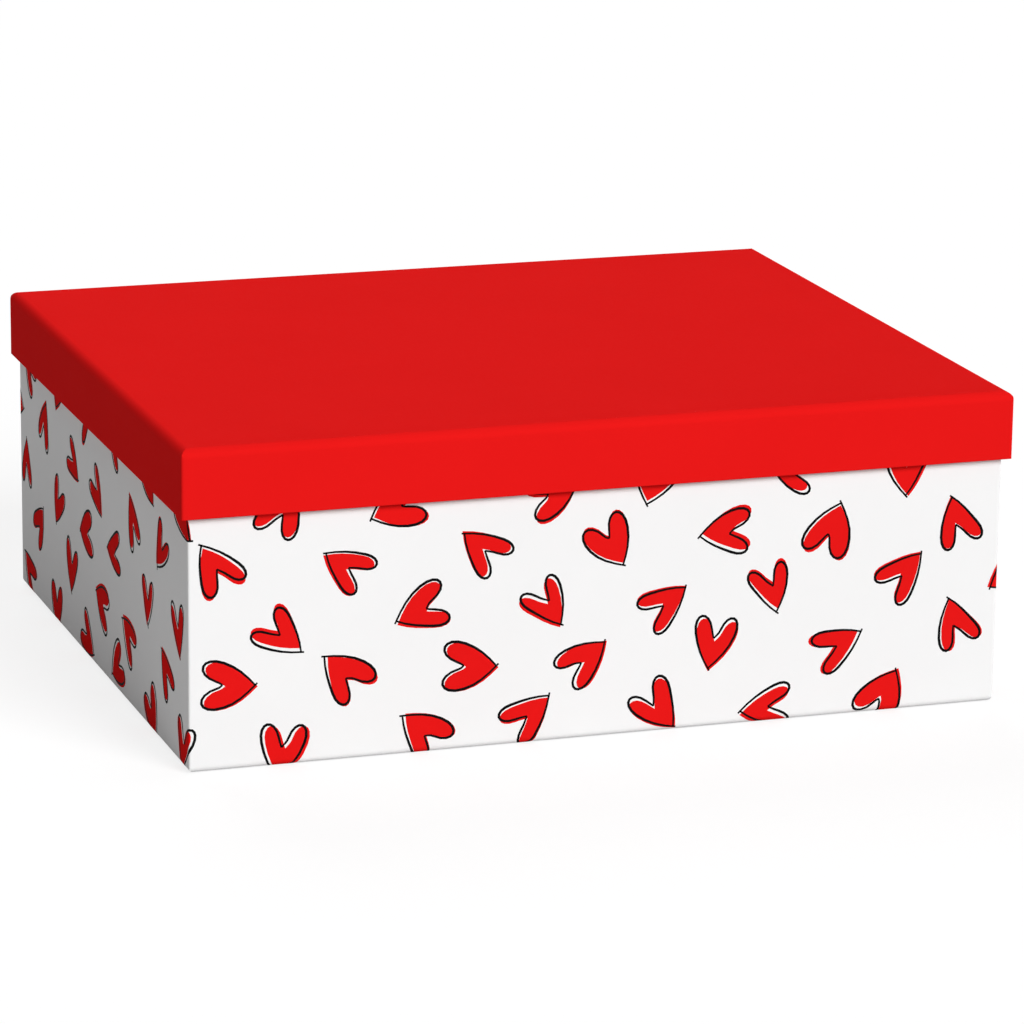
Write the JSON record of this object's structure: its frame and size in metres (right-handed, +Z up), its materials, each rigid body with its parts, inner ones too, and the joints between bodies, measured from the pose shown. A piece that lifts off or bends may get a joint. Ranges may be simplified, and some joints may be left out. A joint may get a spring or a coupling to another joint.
{
  "type": "gift box",
  "caption": "Rectangular rigid gift box of paper-covered greyboard with a plain lift-off lid and a heart-printed base, for keeping or presenting gifts.",
  "frame": {"origin": "middle of the underside, on the table", "axes": "+Z up, +X along the width to the right seen from the front, front wide wall on -Y"},
  "size_m": [0.3106, 0.2598, 0.1175],
  "materials": {
    "greyboard": "matte",
    "stay_tape": "matte",
    "printed_paper": "satin",
    "white_paper": "matte",
    "red_paper": "satin"
  },
  "bodies": {
    "base": {"base_board": "greyboard", "base_stay_front_left": "stay_tape", "base_stay_front_right": "stay_tape", "base_stay_back_left": "stay_tape", "base_stay_back_right": "stay_tape", "base_cover": "printed_paper", "base_bottom_sheet": "white_paper", "base_floor_lining": "white_paper", "base_wall_lining": "white_paper"},
    "lid": {"lid_board": "greyboard", "lid_stay_front_left": "stay_tape", "lid_stay_front_right": "stay_tape", "lid_stay_back_left": "stay_tape", "lid_stay_back_right": "stay_tape", "lid_cover": "red_paper", "lid_lining": "white_paper"}
  },
  "joints": [
    {"name": "lid_lift", "type": "slide", "parent": "base", "child": "lid", "axis": [0, 0, 1], "range_m": [0, 0.15]}
  ]
}
